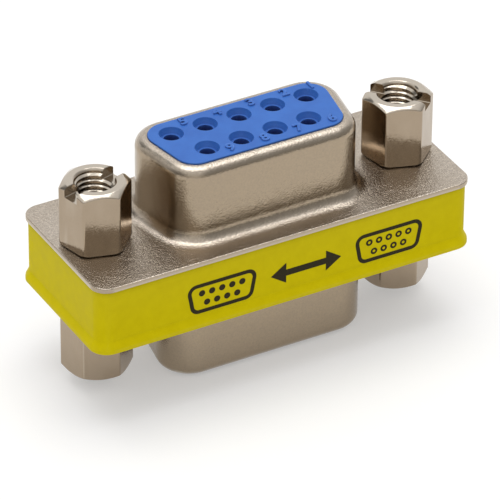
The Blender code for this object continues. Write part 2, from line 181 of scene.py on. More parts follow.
# Small edges and fineness
SHEET_EDGE = 0.07 * MM
FINE_EDGE = 0.04 * MM
LIP_EDGE = 0.03 * MM
MOULD_EDGE = 0.09 * MM
BOSS_GAP = 0.015 * MM
SUPPORT = 0.14 * MM
CORNER_STEPS = 16
ROUND_STEPS = 10
RIM_STEPS = 14
EDGE_STEPS = 3
MOULD_STEPS = 5
HOLE_SIDES = 48
BORE_SIDES = 64
WELD = 0.0001 * MM
SHARP_DEGREES = 30
FLAT_WEIGHT = 90

# Raised digits: where each stands from the middle of its hole
DIGIT_HEIGHT = 0.86 * MM
DIGIT_RAISE = 0.11 * MM
DIGIT_BOLDNESS = 0.03 * MM
FONT_SIZE_TO_HEIGHT = 1.4
DIGIT_PLACES = {1: (0.9 * MM, 1.0 * MM)}
DIGIT_PLACES.update({number: (1.46 * MM, 1.0 * MM) for number in (2, 3, 4, 5)})
DIGIT_PLACES.update({number: (1.42 * MM, -0.82 * MM) for number in (6, 7, 8, 9)})

# Tones of the materials, as linear red, green and blue
SATIN_NICKEL = (0.60, 0.53, 0.44)
# The upright tone is painted shade: the same nickel darker on walls than on level faces, which take the
# lit level tone.
SATIN_UPRIGHT_SHADE = (0.385, 0.31, 0.220)
SATIN_LEVEL_LIT = (0.60, 0.535, 0.46)
SATIN_GRAIN = (0.27, 0.22, 0.17)
SATIN_CLOUD = (0.38, 0.30, 0.21)
# Painted highlight: a lighter nickel tone on outer edges.
SATIN_EDGE_HIGHLIGHT = (0.72, 0.66, 0.58)
BRIGHT_NICKEL = (0.66, 0.60, 0.52)
# The bright upright tone is painted shade, darker than the level tone of the same nickel.
BRIGHT_UPRIGHT_SHADE = (0.38, 0.305, 0.225)
BRIGHT_CLOUD = (0.32, 0.25, 0.175)
# Painted highlight: a lighter tone on the hardware's outer edges.
BRIGHT_EDGE_HIGHLIGHT = (0.62, 0.56, 0.48)
BLUE = (0.075, 0.205, 0.66)
BLUE_TONES = ((0.035, 0.136, 0.49), (0.043, 0.163, 0.55))
# Painted highlight: a paler blue on the moulding's eased edges.
BLUE_EDGE_HIGHLIGHT = (0.14, 0.31, 0.80)
# Painted shade for the depths of the contact holes.
BLUE_HOLE_SHADE = (0.016, 0.006, 0.070)
YELLOW = (0.50, 0.42, 0.006)
YELLOW_TONES = ((0.685, 0.567, 0.002), (0.73, 0.612, 0.003))
# Painted highlight: a paler yellow on the vinyl's edges.
YELLOW_EDGE_HIGHLIGHT = (0.74, 0.65, 0.10)
# Painted shadow for the vinyl in its nooks, as under the flange's edge.
YELLOW_OVERHANG_SHADE = (0.10, 0.085, 0.002)
INK = (0.035, 0.028, 0.02)
INK_TONES = ((0.022, 0.018, 0.008), (0.040, 0.032, 0.012))
BLACK = (0.03, 0.03, 0.034)
BLACK_TONES = ((0.024, 0.024, 0.028), (0.042, 0.041, 0.044))
GOLD = (0.80, 0.60, 0.26)
GOLD_TONES = ((0.82, 0.62, 0.27), (0.70, 0.50, 0.22))
LEVEL_FACE_SPAN = (0.98, 0.998)
CREVICE_SAMPLES = 6

# Camera, solved from the nine holes of the photo, with its turns in degrees
CAMERA_PLACE = (-149.46 * MM, -266.17 * MM, 208.53 * MM)
CAMERA_TURNS = (56.565, -0.4195, -29.072)
CAMERA_LENS = 360.936
CAMERA_SENSOR = 36
CAMERA_CLIP_START = 10 * MM

# Floor, just under the digits of the lower face, and the glow that makes it white where it is seen
FLOOR_HALF_SIZE = 3000 * MM
FLOOR_DROP = 0.13 * MM
FLOOR_TONE = (0.72, 0.72, 0.72, 1)
FLOOR_ROUGHNESS = 0.9
FLOOR_GLOW = 0.30

# World: a dark side in front on the right, a dark screen behind on the left and a dim far left
WORLD_TONE = (1, 0.99, 0.975, 1)
WORLD_STRENGTH = 0.85
DARK_SIDE = (0.75, -0.66, 0.0)
DARK_SIDE_SPAN = (0.35, 0.78)
DARK_SIDE_STRENGTH = 0.40
DARK_SIDE_TOP_SPAN = (0.66, 0.98)
DARK_SCREEN = (-0.40, 0.75, 0.50)
DARK_SCREEN_SPAN = (0.955, 0.99)
DARK_SCREEN_SHARE = 0.2
FAR_LEFT_SPAN = (-1.0, -0.62)
FAR_LEFT_SHARE = 0.3

# Softbox overhead
SOFTBOX_SIZE = (400 * MM, 340 * MM)
SOFTBOX_PLACE = (20 * MM, 60 * MM, 450 * MM)
SOFTBOX_RADIANCE = 2.2


# Shapes


def rounded(corners, radii, steps=CORNER_STEPS):
    """An anticlockwise outline with an arc at each corner and a point on the straight beside it."""
    outline = []
    for index, corner in enumerate(corners):
        here = Vector(corner)
        back = (Vector(corners[index - 1]) - here).normalized()
        ahead = (Vector(corners[(index + 1) % len(corners)]) - here).normalized()
        half = back.angle(ahead) / 2
        reach = radii[index] / math.tan(half)
        centre = here + (back + ahead).normalized() * (radii[index] / math.sin(half))
        first = here + back * reach - centre
        turn = math.pi - 2 * half
        outline.append(here + back * (reach + SUPPORT))
        for step in range(steps + 1):
            spin = Matrix.Rotation(turn * step / steps, 2)
            outline.append(centre + spin @ first)
        outline.append(here + ahead * (reach + SUPPORT))
    return outline


def d_outline(inset):
    """The hood's outline, moved inwards by inset, with its wide side at +Y."""
    half_depth = HOOD_DEPTH / 2 - inset
    middle = HOOD_MIDDLE_HALF_WIDTH - inset / math.cos(HOOD_SIDE_ANGLE)
    lean = half_depth * math.tan(HOOD_SIDE_ANGLE)
    front, back = middle - lean, middle + lean
    corners = [(-front, -half_depth), (front, -half_depth), (back, half_depth), (-back, half_depth)]
    radii = [HOOD_NARROW_CORNER - inset] * 2 + [HOOD_WIDE_CORNER - inset] * 2
    return rounded(corners, radii)


def box_outline(half_length, half_width, radius):
    corners = [(-half_length, -half_width), (half_length, -half_width)]
    corners += [(half_length, half_width), (-half_length, half_width)]
    return rounded(corners, [radius] * 4)


def flange_outline(inset):
    return box_outline(FLANGE_LENGTH / 2 - inset, FLANGE_WIDTH / 2 - inset, FLANGE_CORNER - inset)


def quarter(steps):
    """Angles from 0 to 90 degrees, both ends with them."""
    return [math.pi / 2 * step / steps for step in range(steps + 1)]


def loft(name, rings, capped=False, closed=False):
    """Quads between rings of 3-D points, from the bottom up; closed joins the last to the first."""
    shape = bmesh.new()
    loops = [[shape.verts.new(point) for point in ring] for ring in rings]
    pairs = list(zip(loops, loops[1:]))
    if closed:
        pairs.append((loops[-1], loops[0]))
    count = len(loops[0])
    for low, high in pairs:
        for index in range(count):
            after = (index + 1) % count
            shape.faces.new((low[index], low[after], high[after], high[index]))
    if capped:
        shape.faces.new(loops[0][::-1])
        shape.faces.new(loops[-1])
    return as_mesh(name, shape)


def level(outline, height):
    return [(x, y, height) for x, y in outline]


def as_mesh(name, shape):
    mesh = bpy.data.meshes.new(name)
    shape.to_mesh(mesh)
    shape.free()
    return mesh


def prism(name, outline, low, high):
    return loft(name, [level(outline, low), level(outline, high)], capped=True)


def turned(name, profile, sides):
    """A round solid of radius and height pairs, listed from the bottom up, with flat ends."""
    rings = []
    for radius, height in profile:
        angles = [2 * math.pi * index / sides for index in range(sides)]
        rings.append([(radius * math.cos(a), radius * math.sin(a), height) for a in angles])
    return loft(name, rings, capped=True)


def carve(mesh, *steps):
    """The mesh after Boolean steps, each an operation and the mesh that it works with."""
    holder = bpy.context.scene.collection
    body = bpy.data.objects.new("carved", mesh)
    holder.objects.link(body)
    helpers = []
    for operation, other in steps:
        helper = bpy.data.objects.new("carver", other)
        holder.objects.link(helper)
        helpers.append(helper)
        modifier = body.modifiers.new(operation, "BOOLEAN")
        modifier.operation = operation
        modifier.solver = "EXACT"
        modifier.object = helper
    graph = bpy.context.evaluated_depsgraph_get()
    result = bpy.data.meshes.new_from_object(body.evaluated_get(graph))
    for thing in [body, *helpers]:
        bpy.data.objects.remove(thing)
    result.name = mesh.name
    return result


def joined(name, placed):
    """One mesh of several, each given with the matrix that places it."""
    shape = bmesh.new()
    for mesh, matrix in placed:
        copy = mesh.copy()
        copy.transform(matrix)
        shape.from_mesh(copy)
        bpy.data.meshes.remove(copy)
    return as_mesh(name, shape)


def smooth(mesh, degrees=SHARP_DEGREES):
    """The mesh welded and smooth, with sharp edges where it turns by more than the angle."""
    shape = bmesh.new()
    shape.from_mesh(mesh)
    bmesh.ops.remove_doubles(shape, verts=shape.verts, dist=WELD)
    bmesh.ops.recalc_face_normals(shape, faces=shape.faces)
    shape.to_mesh(mesh)
    shape.free()
    mesh.shade_smooth()
    mesh.set_sharp_from_angle(angle=math.radians(degrees))
    return flat_faced(mesh)


def flat_faced(mesh):
    """The mesh with its normals weighted by area, so that large flat faces stay flat."""
    body = bpy.data.objects.new("weighted", mesh)
    bpy.context.scene.collection.objects.link(body)
    modifier = body.modifiers.new("weigh", "WEIGHTED_NORMAL")
    modifier.keep_sharp = True
    modifier.weight = FLAT_WEIGHT
    graph = bpy.context.evaluated_depsgraph_get()
    result = bpy.data.meshes.new_from_object(body.evaluated_get(graph))
    bpy.data.objects.remove(body)
    result.name = mesh.name
    return result


def add_piece(name, mesh, material, matrix=None, replaces=()):
    """A finished piece in the frame of the solids, from a mesh made about the middle plane."""
    mesh = mesh.copy()
    mesh.transform(Matrix.Translation((0, 0, FACE_HEIGHT)) @ (matrix or Matrix.Identity(4)))
    mesh.materials.clear()
    mesh.materials.append(material)
    mesh.name = name
    piece = bpy.data.objects.new(name, mesh)
    bpy.context.scene.collection.objects.link(piece)
    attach(piece, "root")
    if replaces:
        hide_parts(*replaces)


# Shells


def shell_rings():
    """The sheet's whole skin: edge, plate, fillet, wall, rim and lip, then back inside."""
    edge = SHEET_EDGE
    fillet, rim = HOOD_FILLET, HOOD_RIM_RADIUS
    path = []
    for a in quarter(EDGE_STEPS):
        height = FLANGE_UNDERSIDE + edge - edge * math.cos(a)
        path.append((flange_outline, edge - edge * math.sin(a), height))
    for a in quarter(EDGE_STEPS):
        height = FLANGE_TOP - edge + edge * math.sin(a)
        path.append((flange_outline, edge - edge * math.cos(a), height))
    path.append((flange_outline, edge + SUPPORT / 2, FLANGE_TOP))
    path.append((flange_outline, edge + 2 * SUPPORT, FLANGE_TOP))
    path.append((d_outline, -fillet - 2 * SUPPORT, FLANGE_TOP))
    path.append((d_outline, -fillet - SUPPORT / 2, FLANGE_TOP))
    for a in quarter(ROUND_STEPS):
        path.append((d_outline, fillet * (math.sin(a) - 1), FLANGE_TOP + fillet * (1 - math.cos(a))))
    path.append((d_outline, 0, FLANGE_TOP + fillet + SUPPORT))
    path.append((d_outline, 0, RIM_HEIGHT - rim - SUPPORT))
    for a in quarter(RIM_STEPS):
        path.append((d_outline, rim * (1 - math.cos(a)), RIM_HEIGHT - rim * (1 - math.sin(a))))
    for a in quarter(EDGE_STEPS):
        inset = OPENING_INSET - LIP_EDGE * (1 - math.sin(a))
        path.append((d_outline, inset, RIM_HEIGHT - LIP_EDGE * (1 - math.cos(a))))
    inner = rim - SHEET
    path.append((d_outline, OPENING_INSET, RIM_HEIGHT - SHEET))
    for a in reversed(quarter(EDGE_STEPS)):
        path.append((d_outline, rim - inner * math.cos(a), RIM_HEIGHT - rim + inner * math.sin(a)))
    outer = fillet + SHEET
    for a in reversed(quarter(EDGE_STEPS)):
        height = FLANGE_TOP + fillet - outer * math.cos(a)
        path.append((d_outline, -fillet + outer * math.sin(a), height))
    return [level(outline(inset), height) for outline, inset, height in path]


def build_shells():
    shell = loft("shell", shell_rings(), closed=True)
    reach = [(STUD_HOLE_RADIUS, FLANGE_UNDERSIDE - SHEET), (STUD_HOLE_RADIUS, FLANGE_TOP + SHEET)]
    hole = turned("stud_hole", reach, BORE_SIDES)
    holes = joined("stud_holes", [(hole, Matrix.Translation((x, 0, 0))) for x in JACK_PLACES.values()])
    shell = smooth(carve(shell, ("DIFFERENCE", holes)))
    for end, turn in ENDS:
        name = f"{end}_shell_drawn"
        matrix = Matrix.Rotation(turn, 4, "X")
        add_piece(name, shell, materials["shell"], matrix, [f"{end}_shell"])


# Insulators


def contact_places():
    places = {}
    for index in range(5):
        places[5 - index] = ((index - 2) * PITCH, ROW_SPACING / 2)
    for index in range(4):
        places[9 - index] = ((index - 1.5) * PITCH, -ROW_SPACING / 2)
    return places


def hole_profile():
    """A contact hole from the pocket up to the face, with its edges eased."""
    seat = FACE_HEIGHT - HOLE_MOUTH_DEPTH
    throat = seat - HOLE_THROAT_DEPTH
    ease = FINE_EDGE
    profile = [
        (CHAMBER_RADIUS, POCKET_DEPTH / 2),
        (CHAMBER_RADIUS, throat),
        (HOLE_THROAT_RADIUS, throat),
    ]
    for a in quarter(EDGE_STEPS):
        radius = HOLE_THROAT_RADIUS + ease * (1 - math.cos(a))
        profile.append((radius, seat - ease * (1 - math.sin(a))))
    profile.append((HOLE_SEAT_RADIUS - ease, seat))
    profile.append((HOLE_SEAT_RADIUS, seat + ease))
    for a in quarter(EDGE_STEPS):
        radius = HOLE_MOUTH_RADIUS + ease * (1 - math.cos(a))
        profile.append((radius, FACE_HEIGHT - ease * (1 - math.sin(a))))
    profile.append((HOLE_MOUTH_RADIUS + ease, FACE_HEIGHT + SHEET))
    return profile


def digit_mesh(number):
    """A moulded digit, about its own middle."""
    curve = bpy.data.curves.new(f"digit_{number}", "FONT")
    curve.body = str(number)
    curve.align_x = "CENTER"
    curve.size = DIGIT_HEIGHT * FONT_SIZE_TO_HEIGHT
    curve.extrude = DIGIT_RAISE
    curve.offset = DIGIT_BOLDNESS
    curve.bevel_depth = FINE_EDGE / 4
    curve.bevel_resolution = 1
    curve.resolution_u = 4
    text = bpy.data.objects.new("digit", curve)
    bpy.context.scene.collection.objects.link(text)
    graph = bpy.context.evaluated_depsgraph_get()
    mesh = bpy.data.meshes.new_from_object(text.evaluated_get(graph))
    bpy.data.objects.remove(text)
    mesh.transform(Matrix.Translation((0, -DIGIT_HEIGHT / 2, 0)))
    return mesh


def insulator_block():
    """The boss that fills the hood, the skirt that the shells clamp, and nine holes."""
    wall = SHEET + FIT_GAP
    shoulder = RIM_HEIGHT - SHEET - FIT_GAP
    boss = OPENING_INSET + BOSS_GAP
    ease = MOULD_EDGE
    rings = [
        level(d_outline(wall), FIT_GAP),
        level(d_outline(wall), RIM_HEIGHT - HOOD_RIM_RADIUS),
        level(d_outline(OPENING_INSET), shoulder),
        level(d_outline(boss), shoulder),
    ]
    for a in quarter(MOULD_STEPS):
        inset = boss + ease * (1 - math.cos(a))
        rings.append(level(d_outline(inset), FACE_HEIGHT - ease * (1 - math.sin(a))))
    body = loft("insulator", rings, capped=True)
    skirt = box_outline(SKIRT_HALF_LENGTH, SKIRT_HALF_WIDTH, SKIRT_CORNER)
    pocket = box_outline(POCKET_HALF_LENGTH, POCKET_HALF_WIDTH, SKIRT_CORNER)
    hole = turned("hole", hole_profile(), HOLE_SIDES)
    spots = [(hole, Matrix.Translation((x, y, 0))) for x, y in contact_places().values()]
    return carve(
        body,
        ("UNION", prism("skirt", skirt, FIT_GAP / 2, INNER_HEIGHT)),
        ("DIFFERENCE", prism("pocket", pocket, -POCKET_DEPTH, POCKET_DEPTH)),
        ("DIFFERENCE", joined("holes", spots)),
    )


def build_insulators():
    """The two blocks alike, each with digits that read upright from its narrow row."""
    placed = [(insulator_block(), Matrix.Identity(4))]
    for number, (x, y) in contact_places().items():
        right, up = DIGIT_PLACES[number]
        spot = (x + right, y + up, FACE_HEIGHT)
        placed.append((digit_mesh(number), Matrix.Translation(spot)))
    insulator = smooth(joined("insulator", placed))
    for end, turn in ENDS:
        name = f"{end}_insulator_moulded"
        matrix = Matrix.Rotation(turn, 4, "X")
        add_piece(name, insulator, materials["blue"], matrix, [f"{end}_insulator"])


# Jack screws and standoffs


def hex_points():
    """Points round the hexagon, close together on its rounded edges."""
    points = []
    flat = HEX_ACROSS_FLATS / 2
    middle = flat - HEX_EDGE_RADIUS
    for side in range(6):
        corner = math.radians(60 * side)
        centre = Vector((math.cos(corner), math.sin(corner))) * (middle / math.cos(math.radians(30)))
        for step in range(HEX_EDGE_PARTS + 1):
            turn = corner + math.radians(-30 + 60 * step / HEX_EDGE_PARTS)
            points.append(centre + Vector((math.cos(turn), math.sin(turn))) * HEX_EDGE_RADIUS)
        normal = corner + math.radians(30)
        along = Vector((-math.sin(normal), math.cos(normal)))
        start = points[-1]
        length = 2 * abs(start.dot(along))
        for share in HEX_FLAT_SHARES:
            points.append(start + along * (length * share))
    return points


def hex_head(name):
    """A crowned hex head on its washer face, with rings that follow its curved edges."""
    ease = FINE_EDGE
    columns = []
    for point in hex_points():
        radius = point.length
        way = point.normalized()
        top = HEX_HEIGHT - max(radius - CROWN_RADIUS, 0) * CROWN_SLOPE
        foot = WASHER_FACE_HEIGHT + max(radius - FOOT_RADIUS, 0)
        sole = min(radius, FOOT_RADIUS)
        profile = [
            (WASHER_FACE_RADIUS * 0.6, 0),
            (WASHER_FACE_RADIUS, 0),
            (WASHER_FACE_RADIUS, WASHER_FACE_HEIGHT),
            (sole - ease, WASHER_FACE_HEIGHT),
            (radius, foot + ease),
            (radius, foot + 4 * ease),
            (radius, (top + foot) / 2),
            (radius, top - 4 * ease),
            (radius, top - ease),
            (radius - 0.3 * ease, top - 0.3 * ease + 0.2 * ease * CROWN_SLOPE),
            (radius - ease, top + ease * CROWN_SLOPE),
            (radius * 0.5 + CROWN_RADIUS * 0.5, (top + HEX_HEIGHT) / 2),
            (CROWN_RADIUS + ease, HEX_HEIGHT - ease * CROWN_SLOPE),
            (CROWN_RADIUS, HEX_HEIGHT - 0.25 * ease * CROWN_SLOPE),
            (CROWN_RADIUS - ease, HEX_HEIGHT),
            (CROWN_RADIUS - 4 * ease, HEX_HEIGHT),
        ]
        columns.append([(way.x * r, way.y * r, z) for r, z in profile])
    rings = [[column[index] for column in columns] for index in range(len(columns[0]))]
    return loft(name, rings, capped=True)


def bore_tool(name, floor, point):
    """The countersunk bore, from its drill point up past the crowned end."""
    countersink = HEX_HEIGHT - (JACK_MOUTH_RADIUS - JACK_BORE_RADIUS)
    over = HEX_HEIGHT + SHEET
    ease = FINE_EDGE
    profile = [
        (JACK_BORE_RADIUS * DRILL_TIP_SHARE, floor - point),
        (JACK_BORE_RADIUS, floor),
        (JACK_BORE_RADIUS, countersink - ease),
        (JACK_BORE_RADIUS + ease / 2, countersink + ease / 4),
        (JACK_MOUTH_RADIUS - ease, HEX_HEIGHT - ease),
        (JACK_MOUTH_RADIUS + ease / 2, HEX_HEIGHT),
        (JACK_MOUTH_RADIUS + SHEET / 2, over),
    ]
    return turned(name, profile, BORE_SIDES)


def thread_ridge(name, low, high):
    """A helical ridge with a narrow crest, which runs out into the wall at both ends."""
    shape = bmesh.new()
    turns = (high - low) / THREAD_PITCH
    count = int(turns * THREAD_STEPS)
    flat = THREAD_HALF_CREST
    sections = []
    for step in range(count + 1):
        angle = 2 * math.pi * step / THREAD_STEPS
        height = low + THREAD_PITCH * step / THREAD_STEPS
        fade = min(1, step / THREAD_RUN_OUT_STEPS, (count - step) / THREAD_RUN_OUT_STEPS)
        fade = max(THREAD_END_HEIGHT_SHARE, fade)
        crest = THREAD_ROOT + (THREAD_CREST - THREAD_ROOT) * fade
        foot = THREAD_HALF_FOOT * max(fade, THREAD_END_FOOT_SHARE)
        section = []
        for radius, rise in ((THREAD_ROOT, -foot), (THREAD_ROOT, foot), (crest, flat), (crest, -flat)):
            spot = (radius * math.cos(angle), radius * math.sin(angle), height + rise)
            section.append(shape.verts.new(spot))
        sections.append(section)
    for before, after in zip(sections, sections[1:]):
        for index in range(4):
            following = (index + 1) % 4
            shape.faces.new((before[index], before[following], after[following], after[index]))
    shape.faces.new(sections[0])
    shape.faces.new(sections[-1][::-1])
    bmesh.ops.recalc_face_normals(shape, faces=shape.faces)
    return as_mesh(name, shape)


def slot_tool():
    """The driver slot, a little wider at its mouth."""
    half = DRIVER_SLOT_WIDTH / 2
    ease = FINE_EDGE
    floor = HEX_HEIGHT - DRIVER_SLOT_DEPTH
    over = HEX_HEIGHT + SHEET
    outline = [(-half, floor + ease), (-half + ease, floor), (half - ease, floor), (half, floor + ease)]
    outline += [(half, HEX_HEIGHT - ease), (half + ease, HEX_HEIGHT), (half + ease, over)]
    outline += [(-half - ease, over), (-half - ease, HEX_HEIGHT), (-half, HEX_HEIGHT - ease)]
    reach = 2 * HEX_ACROSS_FLATS
    rings = [[(x, y, z) for y, z in outline] for x in (-reach, reach)]
    mesh = loft("driver_slot", rings, capped=True)
    mesh.transform(Matrix.Rotation(math.radians(30), 4, "Z"))
    return mesh


def jack_screw():
    tip = -(BAND_HEIGHT + 2 * FIT_GAP + STUD_THREAD_ENGAGED)
    stud = [(STUD_RADIUS - STUD_CHAMFER, tip), (STUD_RADIUS, tip + STUD_CHAMFER), (STUD_RADIUS, SHEET)]
    floor = HEX_HEIGHT - JACK_BORE_DEPTH
    body = carve(
        hex_head("jack_screw"),
        ("UNION", turned("stud", stud, BORE_SIDES)),
        ("DIFFERENCE", bore_tool("blind_bore", floor, JACK_DRILL_POINT)),
        ("DIFFERENCE", slot_tool()),
    )
    ridge = thread_ridge("thread", floor + THREAD_PITCH / 2, HEX_HEIGHT - THREAD_TOP_GAP)
    ridge = carve(ridge, ("DIFFERENCE", slot_tool()))
    return smooth(joined("jack_screw", [(body, Matrix.Identity(4)), (ridge, Matrix.Identity(4))]))


def standoff():
    """The bore runs right through, and its thread shows in the free end."""
    body = carve(hex_head("standoff"), ("DIFFERENCE", bore_tool("through_bore", -SHEET, 0)))
    ridge = thread_ridge("thread", THREAD_ABOVE_STUD, HEX_HEIGHT - THREAD_TOP_GAP)
    return smooth(joined("standoff", [(body, Matrix.Identity(4)), (ridge, Matrix.Identity(4))]))


def build_screws():
    screw, post = jack_screw(), standoff()
    seat = FLANGE_TOP + FIT_GAP
    for hand, x in JACK_PLACES.items():
        turn = Matrix.Rotation(math.radians(JACK_SCREW_TURNS[hand]), 4, "Z")
        matrix = Matrix.Translation((x, 0, seat)) @ turn
        node = f"jack_screw_{hand}"
        add_piece(f"{node}_threaded", screw, materials["hardware"], matrix, [node])
        turn = Matrix.Rotation(math.radians(STANDOFF_TURNS[hand]), 4, "Z")
        matrix = Matrix.Translation((x, 0, -seat)) @ turn @ Matrix.Rotation(math.pi, 4, "X")
        node = f"hex_standoff_{hand}"
        add_piece(f"{node}_threaded", post, materials["hardware"], matrix, [node])


# Vinyl band


def strip_path(inset):
    """The band's path from its seam at the back, once round, and on over its own start."""
    outline = flange_outline(inset)
    back = FLANGE_WIDTH / 2 - inset
    corner = len(outline) // 4
    round_trip = outline[3 * corner :] + outline[: 3 * corner]
    path = [(SEAM_X, back)] + [tuple(point) for point in round_trip]
    path.append((SEAM_X + 2 * SEAM_RAMP, back))
    path.append((SEAM_X + SEAM_RAMP, back + SEAM_FIRST_LIFT))
    path.append((SEAM_X + SEAM_RAMP / 3, back + SEAM_LIFT))
    path.append((SEAM_X - SEAM_OVERLAP, back + SEAM_LIFT))
    return path


def band_section():
    """The vinyl's section as inset and height, up its outer face and down its inner one."""
    thick = BAND_THICKNESS
    soft = thick / 3
    low = BAND_BOTTOM_GAP - FLANGE_TOP
    top = FLANGE_UNDERSIDE - BAND_TOP_GAP
    lap, full = BAND_LAP_START - FLANGE_TOP, BAND_LAP_FULL - FLANGE_TOP
    outer = [
        (-BAND_LAP + soft, low),
        (-BAND_LAP, low + soft),
        (-BAND_LAP, full - SUPPORT),
        (-BAND_LAP + BAND_FOLD_EASE, full),
        (BAND_INSET - BAND_CREASE_INSET, lap - BAND_CREASE_DROP),
        (BAND_INSET, lap + SUPPORT / 2),
        (BAND_INSET, top - soft),
        (BAND_INSET + soft, top),
    ]
    inner = [(inset + thick, height) for inset, height in reversed(outer[1:-1])]
    return [*outer, (BAND_INSET + thick, top), *inner, (thick - BAND_LAP, low)]


def build_band():
    paths = [(strip_path(inset), height) for inset, height in band_section()]
    shape = bmesh.new()
    rows = [[shape.verts.new((x, y, height)) for x, y in path] for path, height in paths]
    for low, high in zip(rows, rows[1:] + rows[:1]):
        for index in range(len(low) - 1):
            shape.faces.new((low[index], low[index + 1], high[index + 1], high[index]))
    shape.faces.new([row[0] for row in rows])
    shape.faces.new([row[-1] for row in reversed(rows)])
    band = smooth(as_mesh("band", shape), BAND_SHARP_DEGREES)
    add_piece("label_band_wrapped", band, materials["vinyl"], None, ["label_band"])
    add_piece("label_symbols", symbols(), materials["ink"])


# Symbols on the band


def ribbon(outline, width):
    """A closed flat stroke of the given width along an outline, as an outer and an inner ring."""
    count = len(outline)
    outer, inner = [], []
    for index in range(count):
        here = Vector(outline[index])
        before = (here - Vector(outline[index - 1])).normalized()
        after = (Vector(outline[(index + 1) % count]) - here).normalized()
        way = (before + after).normalized()
        side = Vector((way.y, -way.x))
        outer.append(here + side * (width / 2))
        inner.append(here - side * (width / 2))
    return outer, inner


def raised(shape, loop):
    """A thin plate with the given outline on the front of the band."""
    face = [shape.verts.new((x, INK_FRONT, z)) for x, z in loop]
    under = [shape.verts.new((x, INK_BACK, z)) for x, z in loop]
    shape.faces.new(face)
    shape.faces.new(under[::-1])
    for index in range(len(loop)):
        after = (index + 1) % len(loop)
        shape.faces.new((face[after], face[index], under[index], under[after]))


def raised_ring(shape, outer, inner):
    """A thin closed stroke between two outlines on the front of the band."""
    rows = []
    corners = ((outer, INK_BACK), (outer, INK_FRONT), (inner, INK_FRONT), (inner, INK_BACK))
    for ring, depth in corners:
        rows.append([shape.verts.new((x, depth, z)) for x, z in ring])
    for low, high in zip(rows, rows[1:] + rows[:1]):
        for index in range(len(low)):
            after = (index + 1) % len(low)
            shape.faces.new((low[index], low[after], high[after], high[index]))


def circle(x, z, radius):
    angles = [2 * math.pi * index / DOT_SIDES for index in range(DOT_SIDES)]
    return [(x + radius * math.cos(a), z + radius * math.sin(a)) for a in angles]


def face_symbol(shape, x, open_holes):
    """A nine-way face, wide side up, with its contacts as open rings or as full dots."""
    narrow, wide, half = SYMBOL_NARROW_HALF, SYMBOL_WIDE_HALF, SYMBOL_HALF_HEIGHT
    corners = [(x - narrow, -half), (x + narrow, -half), (x + wide, half), (x - wide, half)]
    corners = [(px, pz + SYMBOL_LEVEL) for px, pz in corners]
    outline = rounded(corners, [SYMBOL_CORNER] * 4, SYMBOL_CORNER_STEPS)
    raised_ring(shape, *ribbon(outline, SYMBOL_LINE))
    for row, count in SYMBOL_ROWS:
        for index in range(count):
            px = x + (index - (count - 1) / 2) * SYMBOL_PITCH
            pz = row + SYMBOL_LEVEL
            if open_holes:
                raised_ring(shape, *[circle(px, pz, radius) for radius in HOLE_DOT_RADII])
            else:
                raised(shape, circle(px, pz, PIN_DOT_RADIUS))


def arrow_symbol(shape):
    """An arrow that points both ways."""
    start, end = ARROW_LEFT, ARROW_RIGHT
    head, tall, thin = ARROW_HEAD_LENGTH, ARROW_HEAD_HALF, ARROW_SHAFT_HALF
    outline = [(start, 0), (start + head, -tall), (start + head, -thin), (end - head, -thin)]
    outline += [(end - head, -tall), (end, 0), (end - head, tall), (end - head, thin)]
    outline += [(start + head, thin), (start + head, tall)]
    raised(shape, [(px, pz + SYMBOL_LEVEL) for px, pz in outline])


def symbols():
    """A face with pins on the left, a face with holes on the right and an arrow between them."""
    shape = bmesh.new()
    face_symbol(shape, PIN_SYMBOL_X, False)
    face_symbol(shape, HOLE_SYMBOL_X, True)
    arrow_symbol(shape)
    bmesh.ops.recalc_face_normals(shape, faces=shape.faces)
    return as_mesh("symbols", shape)


# Node trees


def feed(tree, value, socket):
    """A number is set on the socket, and another node's output is linked to it."""
    if isinstance(value, (int, float)):
        socket.default_value = value
    else:
        tree.links.new(value, socket)


def maths(tree, operation, first, second):
    made = tree.nodes.new("ShaderNodeMath")
    made.operation = operation
    for socket, value in zip(made.inputs, (first, second)):
        feed(tree, value, socket)
    return made.outputs["Value"]


def mapped(tree, source, low, high, from_low, from_high, course="LINEAR"):
    """A value that goes from low to high while the source goes from from_low to from_high."""
    made = tree.nodes.new("ShaderNodeMapRange")
    made.interpolation_type = course
    given = {"From Min": from_low, "From Max": from_high, "To Min": low, "To Max": high}
    for name, value in given.items():
        feed(tree, value, made.inputs[name])
    feed(tree, source, made.inputs["Value"])
    return made.outputs["Result"]


def along(tree, direction, way):
    """The cosine between a direction and a given way."""
    made = tree.nodes.new("ShaderNodeVectorMath")
    made.operation = "DOT_PRODUCT"
    made.inputs[1].default_value = way
    tree.links.new(direction, made.inputs[0])
    return made.outputs["Value"]


# Materials


